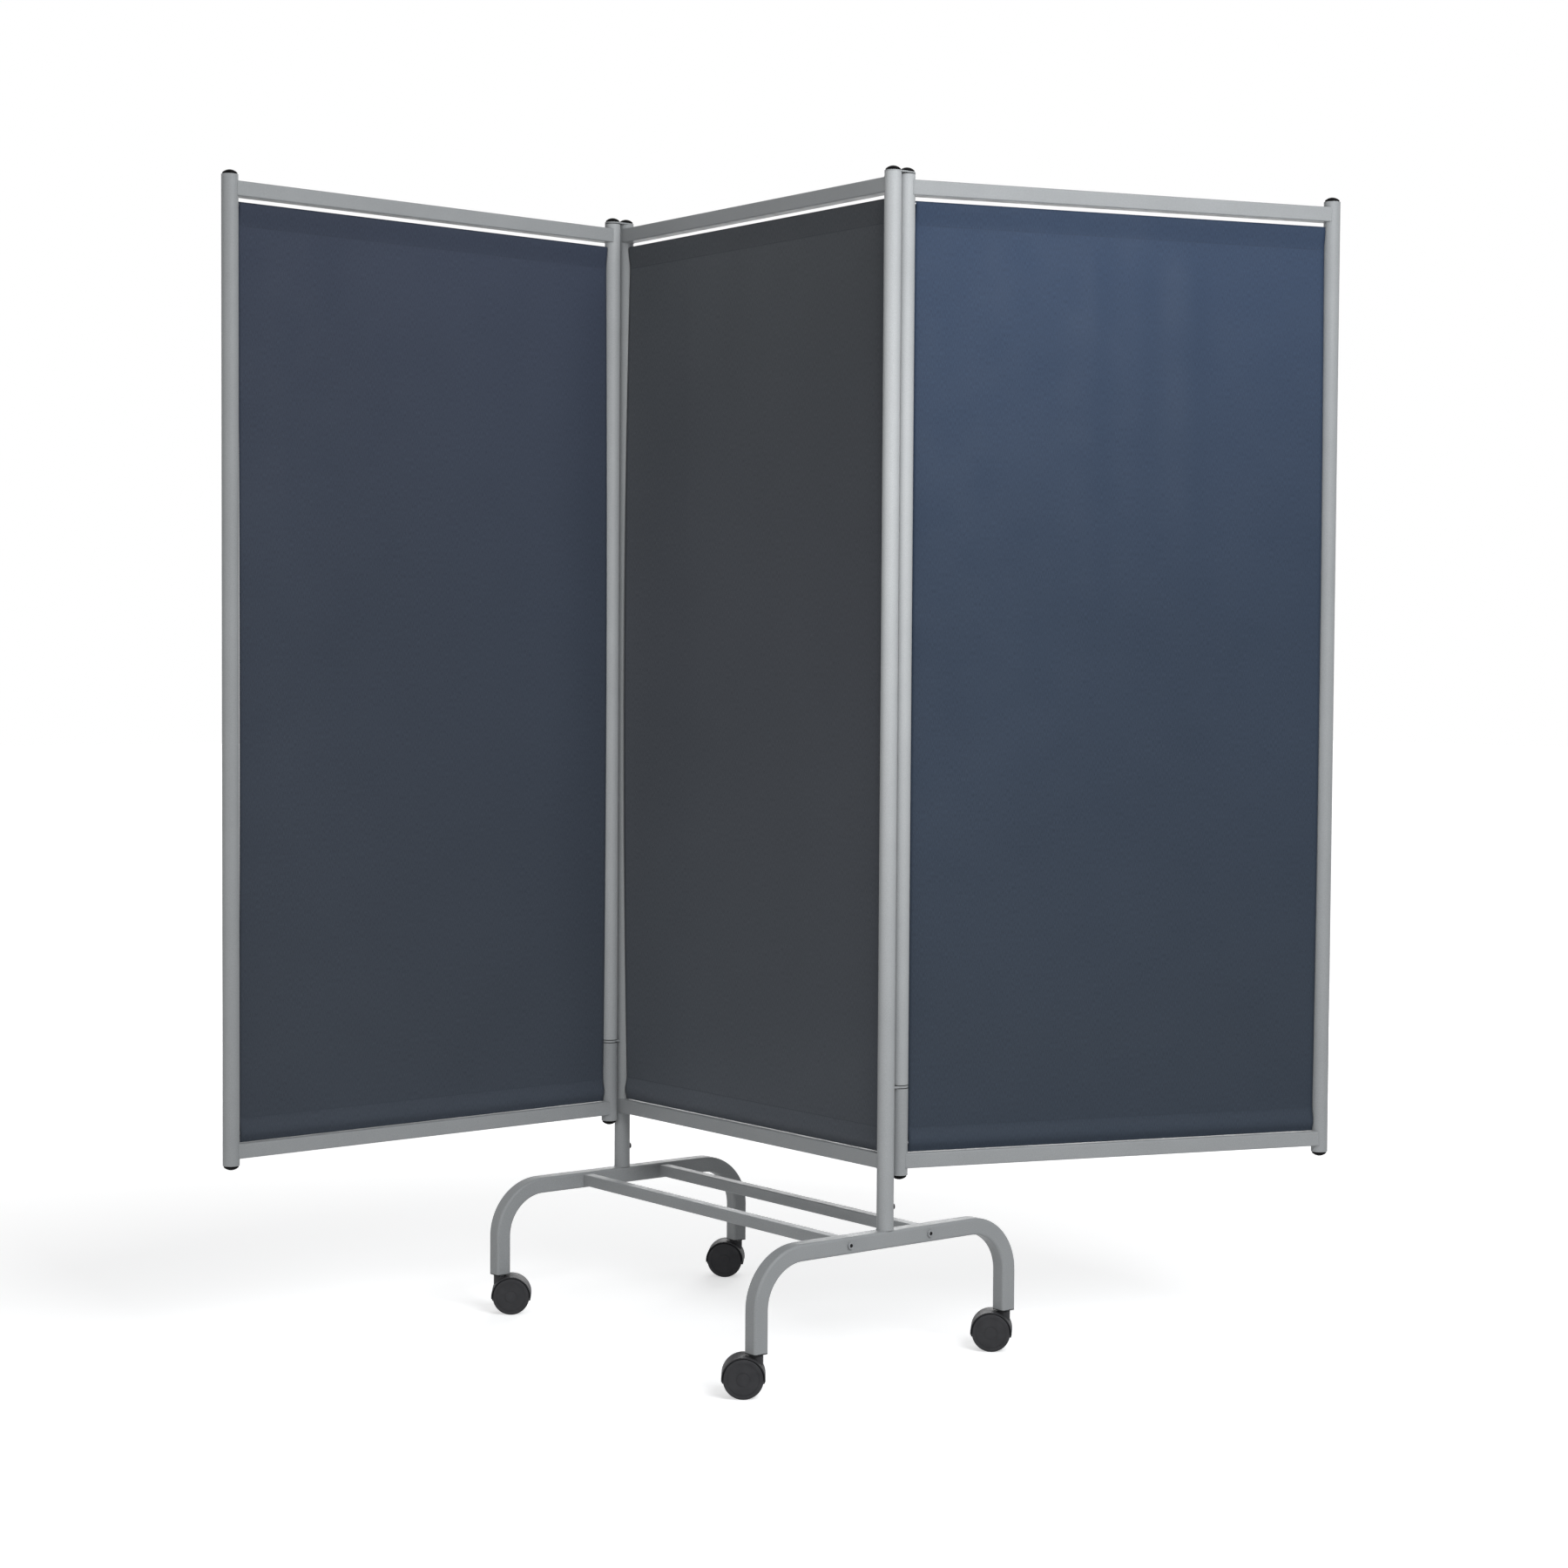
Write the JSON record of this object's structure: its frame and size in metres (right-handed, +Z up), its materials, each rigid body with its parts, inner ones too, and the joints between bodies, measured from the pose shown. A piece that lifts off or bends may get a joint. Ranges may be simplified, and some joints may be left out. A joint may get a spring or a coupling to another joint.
{
  "type": "folding privacy screen",
  "caption": "Mobile folding privacy screen: a middle panel on a wheeled tube base with a hinged wing on each side, each frame filled with a dark hanging curtain.",
  "frame": {"origin": "on the floor under the middle of the wheeled base", "axes": "+Z up; the middle panel lies in the XZ plane with its front towards -Y; +X runs along the middle panel towards the right post"},
  "size_m": [0.9528, 1.4307, 1.75],
  "materials": {
    "frame_paint": "satin silver-grey powder coat",
    "curtain_cloth": "matt dark slate coated cloth",
    "cap_plastic": "gloss black",
    "black_nylon": "matt black",
    "caster_plastic": "matt dark grey",
    "plain_steel": "zinc plated",
    "dark_screw": "dark oxide"
  },
  "bodies": {
    "base": {"leg_left": "frame_paint", "leg_right": "frame_paint", "stretcher_front": "frame_paint", "stretcher_rear": "frame_paint", "stretcher_bolts": "plain_steel", "post_left": "frame_paint", "post_right": "frame_paint", "post_spigots": "plain_steel", "post_screws": "dark_screw", "middle_top_rail": "frame_paint", "middle_bottom_rail": "frame_paint", "middle_curtain": "curtain_cloth", "middle_top_rod": "plain_steel", "middle_bottom_rod": "plain_steel", "hinge_lugs": "frame_paint", "hinge_straps": "frame_paint", "hinge_lower_pins": "plain_steel", "hinge_upper_pins": "plain_steel", "post_caps": "cap_plastic", "hinge_caps": "cap_plastic", "caster_sockets": "black_nylon", "caster_stems": "plain_steel"},
    "wing_left": {"left_outer_upright": "frame_paint", "left_lower_hinge_tube": "frame_paint", "left_upper_hinge_tube": "frame_paint", "left_top_rail": "frame_paint", "left_bottom_rail": "frame_paint", "left_curtain": "curtain_cloth", "left_top_rod": "plain_steel", "left_bottom_rod": "plain_steel", "left_hinge_bushes": "black_nylon", "left_end_caps": "cap_plastic"},
    "wing_right": {"right_outer_upright": "frame_paint", "right_lower_hinge_tube": "frame_paint", "right_upper_hinge_tube": "frame_paint", "right_top_rail": "frame_paint", "right_bottom_rail": "frame_paint", "right_curtain": "curtain_cloth", "right_top_rod": "plain_steel", "right_bottom_rod": "plain_steel", "right_hinge_bushes": "black_nylon", "right_end_caps": "cap_plastic"},
    "caster_front_left": {"front_left_hood": "caster_plastic", "front_left_axle": "plain_steel"},
    "caster_front_right": {"front_right_hood": "caster_plastic", "front_right_axle": "plain_steel"},
    "caster_rear_left": {"rear_left_hood": "caster_plastic", "rear_left_axle": "plain_steel"},
    "caster_rear_right": {"rear_right_hood": "caster_plastic", "rear_right_axle": "plain_steel"},
    "wheel_front_left_near": {"front_left_wheel_near": "caster_plastic"},
    "wheel_front_left_far": {"front_left_wheel_far": "caster_plastic"},
    "wheel_front_right_near": {"front_right_wheel_near": "caster_plastic"},
    "wheel_front_right_far": {"front_right_wheel_far": "caster_plastic"},
    "wheel_rear_left_near": {"rear_left_wheel_near": "caster_plastic"},
    "wheel_rear_left_far": {"rear_left_wheel_far": "caster_plastic"},
    "wheel_rear_right_near": {"rear_right_wheel_near": "caster_plastic"},
    "wheel_rear_right_far": {"rear_right_wheel_far": "caster_plastic"}
  },
  "joints": [
    {"name": "left_hinge", "type": "hinge", "parent": "base", "child": "wing_left", "pos_m": [-0.333, -0.026, 0], "axis": [0, 0, 1], "range_deg": [-112, 88]},
    {"name": "right_hinge", "type": "hinge", "parent": "base", "child": "wing_right", "pos_m": [0.333, 0.026, 0], "axis": [0, 0, 1], "range_deg": [-91, 109]},
    {"name": "front_left_swivel", "type": "hinge", "parent": "base", "child": "caster_front_left", "pos_m": [-0.333, -0.236, 0], "axis": [0, 0, 1], "continuous": true},
    {"name": "front_right_swivel", "type": "hinge", "parent": "base", "child": "caster_front_right", "pos_m": [0.333, -0.236, 0], "axis": [0, 0, 1], "continuous": true},
    {"name": "rear_left_swivel", "type": "hinge", "parent": "base", "child": "caster_rear_left", "pos_m": [-0.333, 0.236, 0], "axis": [0, 0, 1], "continuous": true},
    {"name": "rear_right_swivel", "type": "hinge", "parent": "base", "child": "caster_rear_right", "pos_m": [0.333, 0.236, 0], "axis": [0, 0, 1], "continuous": true},
    {"name": "front_left_near_spin", "type": "hinge", "parent": "caster_front_left", "child": "wheel_front_left_near", "pos_m": [-0.32268, -0.22126, 0.029], "axis": [-0.8192, 0.5736, 0], "continuous": true},
    {"name": "front_left_far_spin", "type": "hinge", "parent": "caster_front_left", "child": "wheel_front_left_far", "pos_m": [-0.32268, -0.22126, 0.029], "axis": [-0.8192, 0.5736, 0], "continuous": true},
    {"name": "front_right_near_spin", "type": "hinge", "parent": "caster_front_right", "child": "wheel_front_right_near", "pos_m": [0.32192, -0.25018, 0.029], "axis": [0.788, -0.6157, 0], "continuous": true},
    {"name": "front_right_far_spin", "type": "hinge", "parent": "caster_front_right", "child": "wheel_front_right_far", "pos_m": [0.32192, -0.25018, 0.029], "axis": [0.788, -0.6157, 0], "continuous": true},
    {"name": "rear_left_near_spin", "type": "hinge", "parent": "caster_rear_left", "child": "wheel_rear_left_near", "pos_m": [-0.34504, 0.22262, 0.029], "axis": [0.7431, -0.6691, 0], "continuous": true},
    {"name": "rear_left_far_spin", "type": "hinge", "parent": "caster_rear_left", "child": "wheel_rear_left_far", "pos_m": [-0.34504, 0.22262, 0.029], "axis": [0.7431, -0.6691, 0], "continuous": true},
    {"name": "rear_right_near_spin", "type": "hinge", "parent": "caster_rear_right", "child": "wheel_rear_right_near", "pos_m": [0.3205, 0.22305, 0.029], "axis": [0.7193, -0.6947, 0], "continuous": true},
    {"name": "rear_right_far_spin", "type": "hinge", "parent": "caster_rear_right", "child": "wheel_rear_right_far", "pos_m": [0.3205, 0.22305, 0.029], "axis": [0.7193, -0.6947, 0], "continuous": true}
  ]
}
